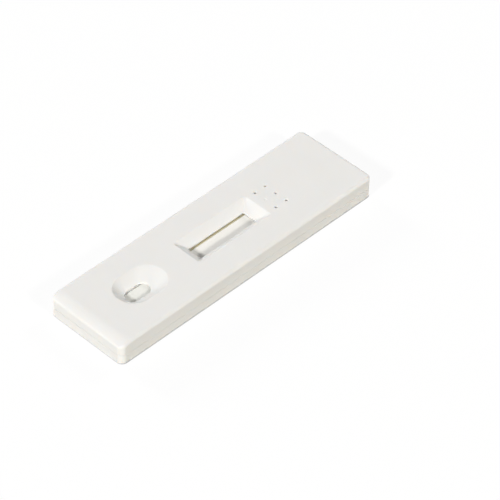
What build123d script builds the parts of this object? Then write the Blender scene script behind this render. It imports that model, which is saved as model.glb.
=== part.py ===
"""Lateral flow cassette: a white two-part moulded housing around one test strip.

Millimetres. The origin is the centre of the underside, +X runs along the cassette from the sample well
to the vents, +Y is across it and +Z is up. The two shells press together on pins, and the strip lies on
a ladder of rails and ribs in the lower one, held down by ribs and by the lip of the well in the upper.
"""
import os

from build123d import *

# Housing, outside
LENGTH = 70.0
WIDTH = 20.0
HEIGHT = 5.2
CORNER_RADIUS = 1.4
TOP_EDGE_RADIUS = 0.7
BOTTOM_EDGE_RADIUS = 0.3
NOSE_LENGTH = 2.6
NOSE_RADIUS = 4.5
PARTING_HEIGHT = 2.2
SEAM_CHAMFER = 0.05

# Housing, walls
SIDE_WALL = 1.2
ROOF = 1.2
FLOOR = 1.0
INNER_CORNER_RADIUS = 0.5
TONGUE_WIDTH = 0.5
TONGUE_HEIGHT = 0.6
TONGUE_CLEARANCE = 0.08

# Sample well: an oblong dish that narrows to a slot over the sample pad
WELL_FROM_END = 14.55
WELL_RIM_LENGTH = 11.9
WELL_RIM_WIDTH = 8.4
WELL_SLOT_LENGTH = 5.9
WELL_SLOT_WIDTH = 3.4
WELL_SLOT_SHIFT = 0.7
WELL_LIP = 0.2

# Read window: a sloped frame that ends in an upright lip over the membrane
WINDOW_FROM_WELL = 22.55
WINDOW_LENGTH = 15.6
WINDOW_WIDTH = 3.7
WINDOW_END_RUN = 2.25
WINDOW_SIDE_RUN = 1.9
WINDOW_CORNER_RADIUS = 0.3
WINDOW_RIM_CORNER_RADIUS = 0.6
WINDOW_LIP = 0.37
WINDOW_GAP = 0.28

# Rim and back of both openings
RIM_RADIUS = 0.35
FUNNEL_WALL = 0.9

# Vents over the absorbent pad
VENT_FROM_WINDOW = 2.1
VENT_PITCH = 2.95
VENT_ROWS = 2
VENT_COLUMNS = 3
VENT_DIAMETER = 0.65
SHUT_VENT_DEPTH = 0.08

# Test strip
STRIP_WIDTH = 3.0
STRIP_END_GAP = 5.0
HEADROOM = 0.25
CARD_THICKNESS = 0.3
MEMBRANE_THICKNESS = 0.15
CONJUGATE_THICKNESS = 0.35
SAMPLE_THICKNESS = 0.45
ABSORBENT_THICKNESS = 0.9
WINDOW_PAD_GAP = 1.3
WELL_PAD_GAP = 0.3
CONJUGATE_LAP = 1.5
SAMPLE_LAP = 2.0
ABSORBENT_LAP = 2.0
LAP_RAMP = 0.6

# Strip channel in the tray
BED_RIB_THICKNESS = 0.8
BED_RIB_COUNT = 10
BED_RAIL_WIDTH = 1.3
CHANNEL_WALL_DROP = 0.05
GUIDE_THICKNESS = 0.8
GUIDE_LENGTH = 2.0
GUIDE_INSET = 3.0
GUIDE_CLEARANCE = 0.15

# Ribs under the roof that press on the strip
PRESS_RIB_THICKNESS = 0.8
PRESS_RIB_WIDTH = 6.0
ABSORBENT_RIB_COUNT = 2

# Press pins and their sockets
PIN_DIAMETER = 1.8
PIN_CLEARANCE = 0.03
PIN_TIP_GAP = 0.4
PIN_INSET_X = 5.0
PIN_INSET_Y = 3.0
PIN_COLUMNS = 4
PIN_ROWS = 2
SOCKET_DIAMETER = 3.4
SHOULDER_CLEARANCE = 0.1

# Heights, from the roof down to the strip and from the tray up to the sockets
ceiling = HEIGHT - ROOF
membrane_top = ceiling - HEADROOM - ABSORBENT_THICKNESS
card_top = membrane_top - MEMBRANE_THICKNESS
bed_top = card_top - CARD_THICKNESS
window_slope_depth = HEIGHT - membrane_top - WINDOW_GAP - WINDOW_LIP
well_slope_depth = HEIGHT - card_top - SAMPLE_THICKNESS - WELL_LIP
tongue_top = PARTING_HEIGHT + TONGUE_HEIGHT

# Places along the cassette
well_x = WELL_FROM_END - LENGTH / 2
well_slot_x = well_x - WELL_SLOT_SHIFT
window_x = well_x + WINDOW_FROM_WELL
vent_x = window_x + WINDOW_LENGTH / 2 + WINDOW_END_RUN + VENT_FROM_WINDOW
strip_start = STRIP_END_GAP - LENGTH / 2
strip_end = LENGTH / 2 - STRIP_END_GAP
window_reach = WINDOW_LENGTH / 2 + FUNNEL_WALL + WINDOW_PAD_GAP
conjugate_start = well_slot_x + WELL_SLOT_LENGTH / 2 + FUNNEL_WALL + WELL_PAD_GAP + LAP_RAMP
conjugate_end = window_x - window_reach
sample_end = conjugate_start + SAMPLE_LAP
membrane_start = conjugate_end - CONJUGATE_LAP
absorbent_start = window_x + window_reach
membrane_end = absorbent_start + ABSORBENT_LAP

# Inside of the shells
inner_length = LENGTH - 2 * SIDE_WALL
inner_width = WIDTH - 2 * SIDE_WALL
pin_places = GridLocations(
    (LENGTH - 2 * PIN_INSET_X) / (PIN_COLUMNS - 1), WIDTH - 2 * PIN_INSET_Y, PIN_COLUMNS, PIN_ROWS
)


def block(x0, x1, y0, y1, z0, z1):
    """Box between two corners."""
    box = Box(x1 - x0, y1 - y0, z1 - z0, align=(Align.MIN, Align.MIN, Align.MIN))
    return Pos(x0, y0, z0) * box


def post(diameter, z0, z1):
    """Upright cylinder between two heights, on the Z axis."""
    cylinder = Cylinder(diameter / 2, z1 - z0, align=(Align.CENTER, Align.CENTER, Align.MIN))
    return Pos(0, 0, z0) * cylinder


def plate(length, width, radius, z0, z1):
    """Plate with rounded corners between two heights, centred on the Z axis."""
    return extrude(Pos(0, 0, z0) * RectangleRounded(length, width, radius), z1 - z0)


def outer_body():
    """The closed cassette from outside: a rounded plate with the top rolled off at the sample end."""
    body = plate(LENGTH, WIDTH, CORNER_RADIUS, 0, HEIGHT)
    nose_x = NOSE_LENGTH - LENGTH / 2
    nose_z = HEIGHT - NOSE_RADIUS
    roll = Pos(nose_x, 0, nose_z) * Rot(90, 0, 0) * Cylinder(NOSE_RADIUS, WIDTH)
    body -= block(-LENGTH / 2, nose_x, -WIDTH / 2, WIDTH / 2, nose_z, HEIGHT) - roll

    # The straight line where the roll begins is smooth, so it isn't an edge to round
    roll_line = body.edges().filter_by(Axis.Y).sort_by_distance((nose_x, 0, HEIGHT))[0]
    level_edges = body.edges().filter_by(Axis.Z, reverse=True) - [roll_line]
    return fillet([edge for edge in level_edges if edge.center().Z > HEIGHT / 2], TOP_EDGE_RADIUS)


def window_section(depth, wall=0.0):
    """Outline of the window's slope at a depth below the top, moved out by a wall."""
    share = 1 - depth / window_slope_depth
    length = WINDOW_LENGTH + 2 * WINDOW_END_RUN * share
    width = WINDOW_WIDTH + 2 * WINDOW_SIDE_RUN * share
    radius = WINDOW_CORNER_RADIUS + (WINDOW_RIM_CORNER_RADIUS - WINDOW_CORNER_RADIUS) * share
    outline = RectangleRounded(length + 2 * wall, width + 2 * wall, radius + wall)
    return Pos(window_x, 0, HEIGHT - depth) * outline


def well_section(depth, wall=0.0):
    """Outline of the well's dish at a depth below the top, moved out by a wall."""
    share = 1 - depth / well_slope_depth
    length = WELL_SLOT_LENGTH + (WELL_RIM_LENGTH - WELL_SLOT_LENGTH) * share
    width = WELL_SLOT_WIDTH + (WELL_RIM_WIDTH - WELL_SLOT_WIDTH) * share
    centre = well_slot_x + (well_x - well_slot_x) * share
    return Pos(centre, 0, HEIGHT - depth) * SlotOverall(length + 2 * wall, width + 2 * wall)


def funnel(section, top_depth, slope_depth, lip, wall=0.0):
    """Slope of an opening from one depth to the next, and the upright lip below it."""
    slope = loft([section(top_depth, wall), section(slope_depth, wall)], ruled=True)
    return slope + extrude(section(slope_depth, wall), -lip)


def vents():
    """Vent holes through the roof. The middle one nearest the window is moulded shut to a dimple."""
    middle_x = vent_x + (VENT_ROWS - 1) * VENT_PITCH / 2
    holes = []
    for place in GridLocations(VENT_PITCH, VENT_PITCH, VENT_ROWS, VENT_COLUMNS):
        along = place.position.X
        across = place.position.Y
        is_shut = along < 0 and abs(across) < VENT_PITCH / 2
        depth = SHUT_VENT_DEPTH if is_shut else ROOF
        holes.append(Pos(middle_x + along, across, 0) * post(VENT_DIAMETER, HEIGHT - depth, HEIGHT))
    return holes


def press_rib(x, bottom):
    """Cross rib from the roof down to the strip, centred on x."""
    half = PRESS_RIB_THICKNESS / 2
    return block(x - half, x + half, -PRESS_RIB_WIDTH / 2, PRESS_RIB_WIDTH / 2, bottom, ceiling)


def top_housing():
    """Upper shell with the well, the window, the vents, the press ribs and the pins."""
    shell = split(outer_body(), bisect_by=Plane.XY.offset(PARTING_HEIGHT), keep=Keep.TOP)
    shell = chamfer(shell.faces().sort_by(Axis.Z)[0].edges(), SEAM_CHAMFER)
    shell -= plate(inner_length, inner_width, INNER_CORNER_RADIUS, PARTING_HEIGHT, ceiling)
    rebate = TONGUE_WIDTH + TONGUE_CLEARANCE
    shell -= plate(
        inner_length + 2 * rebate,
        inner_width + 2 * rebate,
        INNER_CORNER_RADIUS + rebate,
        PARTING_HEIGHT,
        tongue_top + TONGUE_CLEARANCE,
    )

    openings = [
        (well_section, well_slope_depth, WELL_LIP),
        (window_section, window_slope_depth, WINDOW_LIP),
    ]
    for section, slope_depth, lip in openings:
        shell += funnel(section, ROOF / 2, slope_depth, lip, FUNNEL_WALL)
        shell -= funnel(section, 0, slope_depth, lip)
    rims = shell.faces().sort_by(Axis.Z)[-1].inner_wires()
    shell = fillet([edge for rim in rims for edge in rim.edges()], RIM_RADIUS)
    for hole in vents():
        shell -= hole

    shell += press_rib(sample_end - SAMPLE_LAP / 2, card_top + CONJUGATE_THICKNESS + SAMPLE_THICKNESS)
    shell += press_rib(conjugate_end - CONJUGATE_LAP / 2, membrane_top + CONJUGATE_THICKNESS)
    flat_start = membrane_end + LAP_RAMP
    rib_spacing = (strip_end - flat_start) / (ABSORBENT_RIB_COUNT + 1)
    for step in range(1, ABSORBENT_RIB_COUNT + 1):
        shell += press_rib(flat_start + step * rib_spacing, card_top + ABSORBENT_THICKNESS)
    for place in pin_places:
        shell += place * post(SOCKET_DIAMETER, tongue_top + SHOULDER_CLEARANCE, ceiling)
        shell += place * post(PIN_DIAMETER, FLOOR + PIN_TIP_GAP, ceiling)
    return shell


def bottom_housing():
    """Tray with the tongue round its wall, the strip's bed and guides, and the sockets for the pins."""
    tray = plate(LENGTH, WIDTH, CORNER_RADIUS, 0, PARTING_HEIGHT)
    tray = fillet(tray.faces().sort_by(Axis.Z)[0].edges(), BOTTOM_EDGE_RADIUS)
    tray = chamfer(tray.faces().sort_by(Axis.Z)[-1].edges(), SEAM_CHAMFER)
    tray += plate(
        inner_length + 2 * TONGUE_WIDTH,
        inner_width + 2 * TONGUE_WIDTH,
        INNER_CORNER_RADIUS + TONGUE_WIDTH,
        FLOOR,
        tongue_top,
    )
    tray -= plate(inner_length, inner_width, INNER_CORNER_RADIUS, FLOOR, tongue_top)

    guide_inside = STRIP_WIDTH / 2 + GUIDE_CLEARANCE
    guide_outside = guide_inside + GUIDE_THICKNESS
    guide_top = card_top + SAMPLE_THICKNESS - GUIDE_CLEARANCE
    half_guide = GUIDE_LENGTH / 2
    half_rib = BED_RIB_THICKNESS / 2
    rib_pitch = (strip_end - strip_start) / BED_RIB_COUNT
    for place in GridLocations(rib_pitch, 0, BED_RIB_COUNT, 1):
        x = place.position.X
        tray += block(x - half_rib, x + half_rib, -guide_outside, guide_outside, FLOOR, bed_top)

    # Along each side: a rail under the strip, a low wall beside it, and guides by the well and at the far end
    rail_inside = guide_outside - BED_RAIL_WIDTH
    channel_top = card_top - CHANNEL_WALL_DROP
    well_guide_start = strip_start + GUIDE_INSET - half_guide
    well_guide_end = well_slot_x + WELL_SLOT_LENGTH / 2 + FUNNEL_WALL / 2
    far_guide_x = strip_end - GUIDE_INSET
    long_walls = [
        block(strip_start, strip_end, rail_inside, guide_outside, FLOOR, bed_top),
        block(strip_start, strip_end, guide_inside, guide_outside, FLOOR, channel_top),
        block(well_guide_start, well_guide_end, guide_inside, guide_outside, FLOOR, guide_top),
        block(
            far_guide_x - half_guide, far_guide_x + half_guide, guide_inside, guide_outside, FLOOR, guide_top
        ),
    ]
    for wall in long_walls:
        tray += wall
        tray += mirror(wall, about=Plane.XZ)
    start_stop = strip_start - GUIDE_CLEARANCE
    end_stop = strip_end + GUIDE_CLEARANCE
    tray += block(start_stop - GUIDE_THICKNESS, start_stop, -half_guide, half_guide, FLOOR, guide_top)
    tray += block(end_stop, end_stop + GUIDE_THICKNESS, -half_guide, half_guide, FLOOR, guide_top)

    for place in pin_places:
        tray += place * post(SOCKET_DIAMETER, FLOOR, tongue_top)
        tray -= place * post(PIN_DIAMETER + 2 * PIN_CLEARANCE, FLOOR, tongue_top)
    return tray


def strip_layer(side):
    """Layer of the strip, as wide as the strip, from its side outline in X and Z."""
    outline = Plane.XZ * make_face(Polyline(*side, close=True))
    return extrude(outline, STRIP_WIDTH / 2, both=True)


def flat_layer(x0, x1, z0, z1):
    """Flat layer between two ends and two heights."""
    return strip_layer([(x0, z0), (x1, z0), (x1, z1), (x0, z1)])


def lapped_pad(free_end, lapped_end, step_at, step, thickness):
    """Pad that lies on the card and rises over the end of the layer that it laps onto."""
    ramp = LAP_RAMP if free_end > lapped_end else -LAP_RAMP
    under = [
        (free_end, card_top),
        (step_at + ramp, card_top),
        (step_at, card_top + step),
        (lapped_end, card_top + step),
    ]
    over = [(x, z + thickness) for x, z in reversed(under)]
    return strip_layer(under + over)


nodes = {
    "bottom_housing": bottom_housing(),
    "backing_card": flat_layer(strip_start, strip_end, bed_top, card_top),
    "membrane": flat_layer(membrane_start, membrane_end, card_top, membrane_top),
    "conjugate_pad": lapped_pad(
        conjugate_start, conjugate_end, membrane_start, MEMBRANE_THICKNESS, CONJUGATE_THICKNESS
    ),
    "sample_pad": lapped_pad(
        strip_start, sample_end, conjugate_start, CONJUGATE_THICKNESS, SAMPLE_THICKNESS
    ),
    "absorbent_pad": lapped_pad(
        strip_end, absorbent_start, membrane_end, MEMBRANE_THICKNESS, ABSORBENT_THICKNESS
    ),
    "top_housing": top_housing(),
}

os.makedirs("parts", exist_ok=True)
for name, shape in nodes.items():
    export_step(shape, f"parts/{name}.step")
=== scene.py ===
"""Lateral flow cassette on a white table, seen from above the corner at its sample end."""

import bpy
import numpy as np
from mathutils import Matrix, Vector


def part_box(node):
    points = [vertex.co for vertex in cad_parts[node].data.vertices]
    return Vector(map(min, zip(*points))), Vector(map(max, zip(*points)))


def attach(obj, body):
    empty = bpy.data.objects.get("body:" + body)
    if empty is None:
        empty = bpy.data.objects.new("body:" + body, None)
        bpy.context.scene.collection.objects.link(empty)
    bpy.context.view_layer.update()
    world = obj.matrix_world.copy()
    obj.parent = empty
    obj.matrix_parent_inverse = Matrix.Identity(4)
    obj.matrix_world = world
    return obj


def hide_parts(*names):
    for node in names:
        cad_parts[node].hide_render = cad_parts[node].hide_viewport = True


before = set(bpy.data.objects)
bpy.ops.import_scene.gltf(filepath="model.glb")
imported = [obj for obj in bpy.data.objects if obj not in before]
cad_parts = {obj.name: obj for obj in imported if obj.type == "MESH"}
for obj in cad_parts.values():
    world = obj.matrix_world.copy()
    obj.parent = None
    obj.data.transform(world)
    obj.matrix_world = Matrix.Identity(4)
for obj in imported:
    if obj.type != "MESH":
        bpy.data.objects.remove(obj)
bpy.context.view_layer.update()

# Tray
# The lower shell, injection moulded in white high-impact polystyrene. The spark-eroded tool leaves a fine
# satin grain on it, and its cooling leaves the faint, broad waves of any thin moulding.
MM = 0.001
SHELL_COLOUR = "#edeceb"
SHELL_SHADE = "#eae9e6"
SHELL_ROUGHNESS = 0.42
# Light goes a little way into the plastic, the red end of it furthest
SHELL_SCATTER = 0.3 * MM
SHELL_SCATTER_RATIO = (1.0, 0.9, 0.8)
POLYSTYRENE_IOR = 1.59
# The real grain is about 0.05 mm, too fine to show, so it is drawn several times as coarse
SHELL_GRAIN = 0.3 * MM
SHELL_GRAIN_HEIGHT = 0.004 * MM
SHELL_WAVE = 9 * MM
SHELL_WAVE_HEIGHT = 0.01 * MM
# Octaves of finer noise within each wave
WAVE_DETAIL = 3.0


def linear(hex_colour):
    """Linear RGBA from an sRGB hex value: the standard display curve undone on its three channels."""
    srgb = np.array([int(hex_colour[i:i + 2], 16) for i in (1, 3, 5)]) / 255
    rgb = np.where(srgb <= 0.04045, srgb / 12.92, ((srgb + 0.055) / 1.055) ** 2.4)
    return (*rgb, 1.0)


def add_node(tree, kind, links, **settings):
    """New node of a kind. links tie its sockets to outputs, and settings are its properties or sockets."""
    node = tree.nodes.new(kind)
    for name, value in settings.items():
        if hasattr(node, name):
            setattr(node, name, value)
        else:
            node.inputs[name.replace("_", " ")].default_value = value
    for name, output in links.items():
        tree.links.new(output, node.inputs[name])
    return node


def grained(name, colours, roughness, ior, waves):
    """Matt or satin material whose colour drifts between two shades with the first of its waves.

    waves are (size, height) pairs, from broad to fine: each is a noise of that size, and together they are
    one bump.
    """
    material = bpy.data.materials.new(name)
    material.use_nodes = True
    tree = material.node_tree
    shader = tree.nodes["Principled BSDF"]
    shader.inputs["Roughness"].default_value = roughness
    shader.inputs["IOR"].default_value = ior
    place = add_node(tree, "ShaderNodeTexCoord", {}).outputs["Object"]
    noises = [
        add_node(tree, "ShaderNodeTexNoise", {"Vector": place}, Scale=1 / size, Detail=WAVE_DETAIL)
        for size, _ in waves
    ]
    shades = {"Color1": linear(colours[0]), "Color2": linear(colours[1])}
    colour = add_node(tree, "ShaderNodeMixRGB", {"Fac": noises[0].outputs["Fac"]}, **shades)
    tree.links.new(colour.outputs["Color"], shader.inputs["Base Color"])
    relief = {}
    for noise, (_, height) in zip(noises, waves):
        bump = add_node(
            tree, "ShaderNodeBump", {"Height": noise.outputs["Fac"], **relief}, Distance=height
        )
        relief = {"Normal": bump.outputs["Normal"]}
    tree.links.new(relief["Normal"], shader.inputs["Normal"])
    return material


def dress(node, material):
    """Give a CAD node its material."""
    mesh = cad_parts[node].data
    mesh.materials.clear()
    mesh.materials.append(material)


shell_plastic = grained(
    "moulded_polystyrene",
    (SHELL_COLOUR, SHELL_SHADE),
    SHELL_ROUGHNESS,
    POLYSTYRENE_IOR,
    [(SHELL_WAVE, SHELL_WAVE_HEIGHT), (SHELL_GRAIN, SHELL_GRAIN_HEIGHT)],
)
shell_shader = shell_plastic.node_tree.nodes["Principled BSDF"]
shell_shader.inputs["Subsurface Weight"].default_value = 1.0
shell_shader.inputs["Subsurface Scale"].default_value = SHELL_SCATTER
shell_shader.inputs["Subsurface Radius"].default_value = SHELL_SCATTER_RATIO

# Painted shade: a warm cream tint on the bed and its low walls beside the strip, from the membrane on,
# standing in for the shade in the gap under the window's lip
PAINTED_SHADE_COLOUR = "#e3dbbf"
PAINTED_SHADE_SPREAD = 1.0 * MM
PAINTED_SHADE_DEPTH = 0.05 * MM
card_low, card_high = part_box("backing_card")
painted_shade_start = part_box("membrane")[0].x
painted_shade_half_width = card_high.y + PAINTED_SHADE_SPREAD
painted_shade_least_height = card_low.z - PAINTED_SHADE_DEPTH

# The tray's plastic, with the painted shade mixed into its colour beside the strip
plastic_with_painted_shade = shell_plastic.copy()
plastic_with_painted_shade.name = "moulded_polystyrene_with_painted_shade"
tree = plastic_with_painted_shade.node_tree
colour_socket = tree.nodes["Principled BSDF"].inputs["Base Color"]
bare_colour = colour_socket.links[0].from_socket
place = add_node(tree, "ShaderNodeSeparateXYZ", {0: tree.nodes["Texture Coordinate"].outputs["Object"]})
across = add_node(tree, "ShaderNodeMath", {0: place.outputs["Y"]}, operation="ABSOLUTE")
limits = [
    ("LESS_THAN", across.outputs[0], painted_shade_half_width),
    ("GREATER_THAN", place.outputs["X"], painted_shade_start),
    ("GREATER_THAN", place.outputs["Z"], painted_shade_least_height),
]
within = []
for operation, value, limit in limits:
    test = add_node(tree, "ShaderNodeMath", {0: value}, operation=operation)
    test.inputs[1].default_value = limit
    within.append(test.outputs[0])
beside = add_node(tree, "ShaderNodeMath", {0: within[0], 1: within[1]}, operation="MULTIPLY")
painted_shade_mask = add_node(tree, "ShaderNodeMath", {0: beside.outputs[0], 1: within[2]}, operation="MULTIPLY")
# Painted shade: the cream tint replaces the bare colour inside the mask
painted_shade_tint = add_node(
    tree, "ShaderNodeMixRGB", {"Fac": painted_shade_mask.outputs[0], "Color1": bare_colour}, Color2=linear(PAINTED_SHADE_COLOUR)
)
tree.links.new(painted_shade_tint.outputs["Color"], colour_socket)
dress("bottom_housing", plastic_with_painted_shade)

# Backing card
# A strip of calendered white PVC that carries the pads on its adhesive face. The rolls leave it smooth and
# a little glossy, and it lies loose on the tray's rails.
CARD_COLOUR = "#eeece4"
CARD_SHADE = "#e6e3d8"
CARD_ROUGHNESS = 0.35
PVC_IOR = 1.54
CARD_MARBLING = 4 * MM
CARD_MARBLING_HEIGHT = 0.005 * MM

card_plastic = grained(
    "calendered_pvc",
    (CARD_COLOUR, CARD_SHADE),
    CARD_ROUGHNESS,
    PVC_IOR,
    [(CARD_MARBLING, CARD_MARBLING_HEIGHT)],
)
dress("backing_card", card_plastic)

# Membrane
# A cast sheet of nitrocellulose on the card, seen through the read window. It is porous, so it is a matt
# creamy white, and the slitting wheels round its edges slightly.
MEMBRANE_COLOUR = "#fcfbf7"
MEMBRANE_SHADE = "#f9f7f1"
MEMBRANE_ROUGHNESS = 0.9
NITROCELLULOSE_IOR = 1.5
MEMBRANE_MOTTLE = 0.8 * MM
MEMBRANE_MOTTLE_HEIGHT = 0.006 * MM
# The pores are a few thousandths of a millimetre, so they are drawn much coarser
MEMBRANE_PORES = 0.2 * MM
MEMBRANE_PORE_HEIGHT = 0.006 * MM
MEMBRANE_EDGE = 0.03 * MM
MEMBRANE_GRID = (160, 48)
# Share of a sine wave that draws the lines of a grid towards its edges
EDGE_CROWDING = 0.9
# Faces that meet at more than this angle keep a crisp edge
SHARP_ANGLE = np.radians(50)
scene = bpy.context.scene


def crowded(low, high, count):
    """Values from low to high, close together at both ends: an even row less a share of one sine wave."""
    t = np.linspace(0, 1, count)
    return low + (high - low) * (t - EDGE_CROWDING * np.sin(2 * np.pi * t) / (2 * np.pi))


def rounding(x, y, radius):
    """Drop of a flat sheet's face near its outline: a quarter circle of the radius, added over x and y."""
    drop = 0
    for value in (x, y):
        depth = np.minimum(value - value.min(), value.max() - value)
        short = np.clip(radius - depth, 0, radius)
        drop = drop + radius - np.sqrt(radius**2 - short**2)
    return np.minimum(drop, radius)


def slab(name, x, y, lower, upper, material, node):
    """Closed sheet in place of a node: two height fields on one grid, with walls round their four edges."""
    nx, ny = x.shape
    top = np.arange(nx * ny).reshape(nx, ny)
    over = np.stack([top[:-1, :-1], top[1:, :-1], top[1:, 1:], top[:-1, 1:]], axis=-1).reshape(-1, 4)
    under = over[:, ::-1] + top.size
    rim = np.concatenate([top[:-1, 0], top[-1, :-1], top[:0:-1, -1], top[0, :0:-1]])
    after = np.roll(rim, -1)
    wall = np.stack([rim + top.size, after + top.size, after, rim], axis=-1)
    points = np.concatenate([np.stack([x, y, z], axis=-1).reshape(-1, 3) for z in (upper, lower)])
    mesh = bpy.data.meshes.new(name)
    mesh.from_pydata(points, [], np.concatenate([over, under, wall]))
    mesh.shade_smooth()
    mesh.set_sharp_from_angle(angle=SHARP_ANGLE)
    mesh.materials.append(material)
    piece = bpy.data.objects.new(name, mesh)
    scene.collection.objects.link(piece)
    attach(piece, "root")
    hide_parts(node)
    return piece


nitrocellulose = grained(
    "cast_nitrocellulose",
    (MEMBRANE_COLOUR, MEMBRANE_SHADE),
    MEMBRANE_ROUGHNESS,
    NITROCELLULOSE_IOR,
    [(MEMBRANE_MOTTLE, MEMBRANE_MOTTLE_HEIGHT), (MEMBRANE_PORES, MEMBRANE_PORE_HEIGHT)],
)
low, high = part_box("membrane")
x, y = np.meshgrid(
    crowded(low.x, high.x, MEMBRANE_GRID[0]), crowded(low.y, high.y, MEMBRANE_GRID[1]), indexing="ij"
)
face = high.z - rounding(x, y, MEMBRANE_EDGE)
sheet = slab("membrane_sheet", x, y, np.full_like(x, low.z), face, nitrocellulose, "membrane")

# Conjugate pad
# Wet-laid glass fibre, soaked in the red dye of the test and dried. One end lies on the card and the other
# laps onto the membrane, so that the sample is handed on.
CONJUGATE_COLOUR = "#c99a97"
CONJUGATE_SHADE = "#b98481"
CONJUGATE_RELIEF = 0.03 * MM
CONJUGATE_FIBRE_LENGTH = 1.2 * MM
CONJUGATE_FIBRE_WIDTH = 0.05 * MM
CONJUGATE_SEED = 5
GLASS_IOR = 1.52
FIBRE_ROUGHNESS = 0.95
FIBRE_MOTTLE = 1.2 * MM
FIBRE_MOTTLE_HEIGHT = 0.03 * MM
FIBRE_FUZZ = 0.12 * MM
FIBRE_FUZZ_HEIGHT = 0.015 * MM
FIBRES_PER_AREA = 3.0 / MM**2
# Lowest and highest level of a fibre in its mat, as shares of the relief
FIBRE_LEVELS = (0.3, 1.0)
LAP_RAMP = 0.6 * MM
PAD_EDGE = 0.12 * MM
PAD_GRID_PITCH = 0.06 * MM


def fibre_mat(x, y, fibre_length, fibre_width, seed):
    """Height of a mat of straight fibres, from 0 to 1: each is a ridge with a bell section and blunt ends.

    The height at a point is that of the highest ridge there, over fibres strewn at random, each with a level
    of its own in the mat.
    """
    draw = np.random.default_rng(seed)
    count = int(FIBRES_PER_AREA * np.ptp(x) * np.ptp(y))
    centre_x = draw.uniform(x.min(), x.max(), count)
    centre_y = draw.uniform(y.min(), y.max(), count)
    turn = draw.uniform(0, np.pi, count)
    level = draw.uniform(*FIBRE_LEVELS, count)
    height = np.zeros_like(x)
    for cx, cy, angle, top in zip(centre_x, centre_y, turn, level):
        along = (x - cx) * np.cos(angle) + (y - cy) * np.sin(angle)
        across = (y - cy) * np.cos(angle) - (x - cx) * np.sin(angle)
        end = np.clip((fibre_length / 2 - np.abs(along)) / fibre_width, 0, 1)
        np.maximum(height, top * end * np.exp(-((across / fibre_width) ** 2)), out=height)
    return height


def fibre_pad(name, node, material, under, relief, fibre_length, fibre_width, seed):
    """Pad in place of a node: a mat of fibres on a base that climbs onto the layer under its end.

    The climb is a smooth ramp, the curve 3t squared less 2t cubed. The face is the base plus the thickness,
    less the rounding of its edges and the hollows between its fibres, so that it stays inside the node.
    """
    low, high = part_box(node)
    under_low, under_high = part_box(under)
    xs = crowded(low.x, high.x, int((high.x - low.x) / PAD_GRID_PITCH))
    ys = crowded(low.y, high.y, int((high.y - low.y) / PAD_GRID_PITCH))
    x, y = np.meshgrid(xs, ys, indexing="ij")
    past_edge = x - under_low.x if low.x < under_low.x else under_high.x - x
    t = np.clip(past_edge / LAP_RAMP + 1, 0, 1)
    step = under_high.z - low.z
    base = low.z + step * t**2 * (3 - 2 * t)
    thickness = high.z - low.z - step
    mat = fibre_mat(x, y, fibre_length, fibre_width, seed)
    face = base + thickness - rounding(x, y, PAD_EDGE) - relief * (1 - mat)
    pad = slab(name, x, y, base, face, material, node)
    return pad


def fibre(name, colours, ior):
    """Matt mat of fine fibres: a soft mottle where it is thicker, and a fuzz of fibre ends."""
    waves = [(FIBRE_MOTTLE, FIBRE_MOTTLE_HEIGHT), (FIBRE_FUZZ, FIBRE_FUZZ_HEIGHT)]
    return grained(name, colours, FIBRE_ROUGHNESS, ior, waves)


dyed_glass = fibre("dyed_glass_fibre", (CONJUGATE_COLOUR, CONJUGATE_SHADE), GLASS_IOR)
pad = fibre_pad(
    "conjugate_fibre_pad",
    "conjugate_pad",
    dyed_glass,
    "membrane",
    CONJUGATE_RELIEF,
    CONJUGATE_FIBRE_LENGTH,
    CONJUGATE_FIBRE_WIDTH,
    CONJUGATE_SEED,
)

# Sample pad
# Soft white cellulose paper under the well, where the drops fall. One end lies on the card, held down by the
# lip of the well, and the other laps onto the conjugate pad.
SAMPLE_COLOUR = "#f7f7f3"
SAMPLE_SHADE = "#f1f1ea"
SAMPLE_RELIEF = 0.04 * MM
SAMPLE_FIBRE_LENGTH = 1.5 * MM
SAMPLE_FIBRE_WIDTH = 0.06 * MM
SAMPLE_SEED = 7
CELLULOSE_IOR = 1.47

cellulose = fibre("cellulose_paper", (SAMPLE_COLOUR, SAMPLE_SHADE), CELLULOSE_IOR)
pad = fibre_pad(
    "sample_fibre_pad",
    "sample_pad",
    cellulose,
    "conjugate_pad",
    SAMPLE_RELIEF,
    SAMPLE_FIBRE_LENGTH,
    SAMPLE_FIBRE_WIDTH,
    SAMPLE_SEED,
)

# Absorbent pad
# Thick cotton-linter board at the vented end, which soaks up what has run through the membrane. Its near
# end laps onto the membrane, and two ribs of the upper shell hold it down.
ABSORBENT_COLOUR = "#f4f1e8"
ABSORBENT_SHADE = "#ebe7da"
ABSORBENT_RELIEF = 0.05 * MM
ABSORBENT_FIBRE_LENGTH = 1.8 * MM
ABSORBENT_FIBRE_WIDTH = 0.07 * MM
ABSORBENT_SEED = 11

cotton = fibre("cotton_linter", (ABSORBENT_COLOUR, ABSORBENT_SHADE), CELLULOSE_IOR)
pad = fibre_pad(
    "absorbent_fibre_pad",
    "absorbent_pad",
    cotton,
    "membrane",
    ABSORBENT_RELIEF,
    ABSORBENT_FIBRE_LENGTH,
    ABSORBENT_FIBRE_WIDTH,
    ABSORBENT_SEED,
)

# Upper shell
# The other half of the moulding, in the same satin polystyrene, with the well, the window and the vents. Its
# pins press into the tray's sockets, so nothing shows of the joint but a fine groove.
dress("top_housing", shell_plastic)

# Table
# A plain sheet of warm white card, which sends most of its light back onto the cassette's sides. The camera
# sees it bright, with a trace of the cassette's shadow, and with a fine dark line of painted shade where the
# cassette meets it, drawn by an occlusion test in its glow.
TABLE_HALF = 1500 * MM
TABLE_COLOUR = "#d8d5cb"
# Share of the brightness that comes from the lamps, and so falls away in shadow
TABLE_SHADOW = 0.10
# A hair of air under the cassette keeps the two flat faces apart
TABLE_GAP = 0.02 * MM
# Reach of the painted dark line of contact shade
PAINTED_CONTACT_SHADE_REACH = 0.25 * MM
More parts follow.
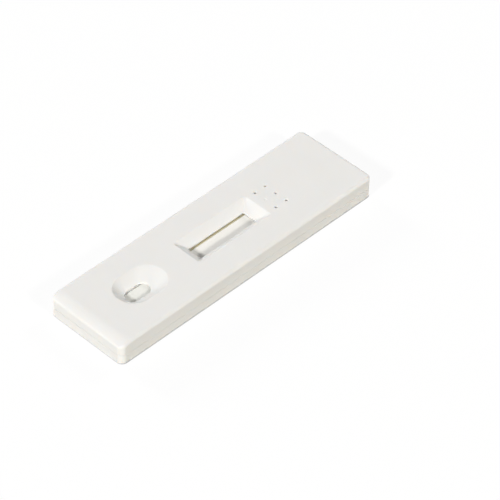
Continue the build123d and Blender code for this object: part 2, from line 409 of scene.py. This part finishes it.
# The painted shade's test leans towards the sample end and the left, so the painted line fades along those
# edges, where light from there would get under them
PAINTED_CONTACT_SHADE_LEAN = (-0.66, 0.38, 0.64)
WHITE = linear("#ffffff")


def shows_background(tree):
    """Output of 1 for rays that see the background, straight, mirrored or through glass, and else of 0."""
    ray = add_node(tree, "ShaderNodeLightPath", {}).outputs
    indirect = {0: ray["Is Glossy Ray"], 1: ray["Is Transmission Ray"]}
    shine = add_node(tree, "ShaderNodeMath", indirect, operation="MAXIMUM")
    either = {0: ray["Is Camera Ray"], 1: shine.outputs[0]}
    return add_node(tree, "ShaderNodeMath", either, operation="MAXIMUM").outputs[0]


mesh = bpy.data.meshes.new("table")
corners = np.array([(-1, -1, 0), (1, -1, 0), (1, 1, 0), (-1, 1, 0)]) * TABLE_HALF
corners[:, 2] = -TABLE_GAP
mesh.from_pydata(corners, [], [(0, 1, 2, 3)])
table = bpy.data.objects.new("table", mesh)
scene.collection.objects.link(table)

white_card = bpy.data.materials.new("white_table")
white_card.use_nodes = True
tree = white_card.node_tree
tree.nodes.clear()
returned = add_node(tree, "ShaderNodeBsdfDiffuse", {}, Color=linear(TABLE_COLOUR))
painted_shade_lean = add_node(tree, "ShaderNodeCombineXYZ", {}, **dict(zip("XYZ", PAINTED_CONTACT_SHADE_LEAN)))
# Painted shade: an occlusion test dims the floor's glow at the cassette's foot
painted_contact_shade = add_node(
    tree,
    "ShaderNodeAmbientOcclusion",
    {"Normal": painted_shade_lean.outputs[0]},
    Color=WHITE,
    Distance=PAINTED_CONTACT_SHADE_REACH,
)
bright = add_node(
    tree, "ShaderNodeEmission", {"Color": painted_contact_shade.outputs["Color"]}, Strength=1 - TABLE_SHADOW
)
shaded = add_node(tree, "ShaderNodeBsdfDiffuse", {}, Color=(*[TABLE_SHADOW] * 3, 1))
shown = add_node(tree, "ShaderNodeAddShader", {0: bright.outputs[0], 1: shaded.outputs[0]})
mixed = add_node(
    tree, "ShaderNodeMixShader", {0: shows_background(tree), 1: returned.outputs[0], 2: shown.outputs[0]}
)
add_node(tree, "ShaderNodeOutputMaterial", {0: mixed.outputs[0]})
mesh.materials.append(white_card)

# Light
# Two small key lamps, from the sample end and from the right, and two softer fills opposite them, in a dim
# room. All stand low, so the near corners of the openings stay in shade.
ROOM_LEVEL = 0.04
LAMP_DISTANCE = 5000 * MM
KEY_SIZE = 440 * MM
FILL_SIZE = 1000 * MM
SIDE_LAMP_COLOUR = "#fffdf7"


def lamp(name, heading, elevation, level, size, colour="#ffffff"):
    """Square lamp that faces the cassette and leaves no glare on it, as through crossed polarisers.

    Its level is what a white sheet that faces it sends back, so its power is that level times the square of
    pi and the square of its distance.
    """
    data = bpy.data.lights.new(name, "AREA")
    data.size = size
    data.energy = level * np.pi**2 * LAMP_DISTANCE**2
    data.color = linear(colour)[:3]
    turn, rise = np.radians([heading, elevation])
    way = Vector((np.cos(turn) * np.cos(rise), np.sin(turn) * np.cos(rise), np.sin(rise)))
    placed = bpy.data.objects.new(name, data)
    placed.matrix_world = way.to_track_quat("Z", "Y").to_matrix().to_4x4()
    placed.location = way * LAMP_DISTANCE
    placed.visible_glossy = False
    scene.collection.objects.link(placed)


lamp("end_lamp", heading=185, elevation=31, level=0.785, size=KEY_SIZE)
lamp("side_lamp", heading=-90, elevation=33, level=0.475, size=KEY_SIZE, colour=SIDE_LAMP_COLOUR)
lamp("far_fill", heading=0, elevation=30, level=0.27, size=FILL_SIZE)
lamp("back_fill", heading=90, elevation=18, level=0.48, size=FILL_SIZE)

world = bpy.data.worlds.new("studio")
scene.world = world
world.use_nodes = True
tree = world.node_tree
tree.nodes.clear()
room = add_node(tree, "ShaderNodeBackground", {}, Color=WHITE, Strength=ROOM_LEVEL)
backdrop = add_node(tree, "ShaderNodeBackground", {}, Color=WHITE, Strength=1.0)
mixed = add_node(
    tree, "ShaderNodeMixShader", {0: shows_background(tree), 1: room.outputs[0], 2: backdrop.outputs[0]}
)
add_node(tree, "ShaderNodeOutputWorld", {0: mixed.outputs[0]})
scene.view_settings.view_transform = "Standard"

# Camera
# A long lens above the corner of the sample end, turned a little about its own axis as the photograph is. It
# stands far off, so the cassette's long edges stay almost parallel.
VIEW_HEADING, VIEW_ELEVATION, VIEW_ROLL = np.radians([43.365, 43.294, 1.785])
VIEW_DISTANCE = 603.2 * MM
VIEW_OFFSET_RIGHT = 7.04 * MM
VIEW_OFFSET_UP = 0.58 * MM
CLIP_START = 10 * MM
# The sensor's width and the lens are in millimetres, as Blender takes them
SENSOR_WIDTH = 36.0
LENS = 218.9

side = Vector((np.sin(VIEW_HEADING), -np.cos(VIEW_HEADING), 0))
ahead = Vector((np.cos(VIEW_HEADING), np.sin(VIEW_HEADING), 0)) * np.cos(VIEW_ELEVATION)
ahead.z = -np.sin(VIEW_ELEVATION)
level_up = side.cross(ahead)
right = side * np.cos(VIEW_ROLL) + level_up * np.sin(VIEW_ROLL)
up = level_up * np.cos(VIEW_ROLL) - side * np.sin(VIEW_ROLL)
data = bpy.data.cameras.new("camera")
data.sensor_width = SENSOR_WIDTH
data.lens = LENS
data.clip_start = CLIP_START
camera = bpy.data.objects.new("camera", data)
camera.matrix_world = Matrix((right, up, -ahead)).transposed().to_4x4()
camera.location = right * VIEW_OFFSET_RIGHT + up * VIEW_OFFSET_UP - ahead * VIEW_DISTANCE
scene.collection.objects.link(camera)
scene.camera = camera
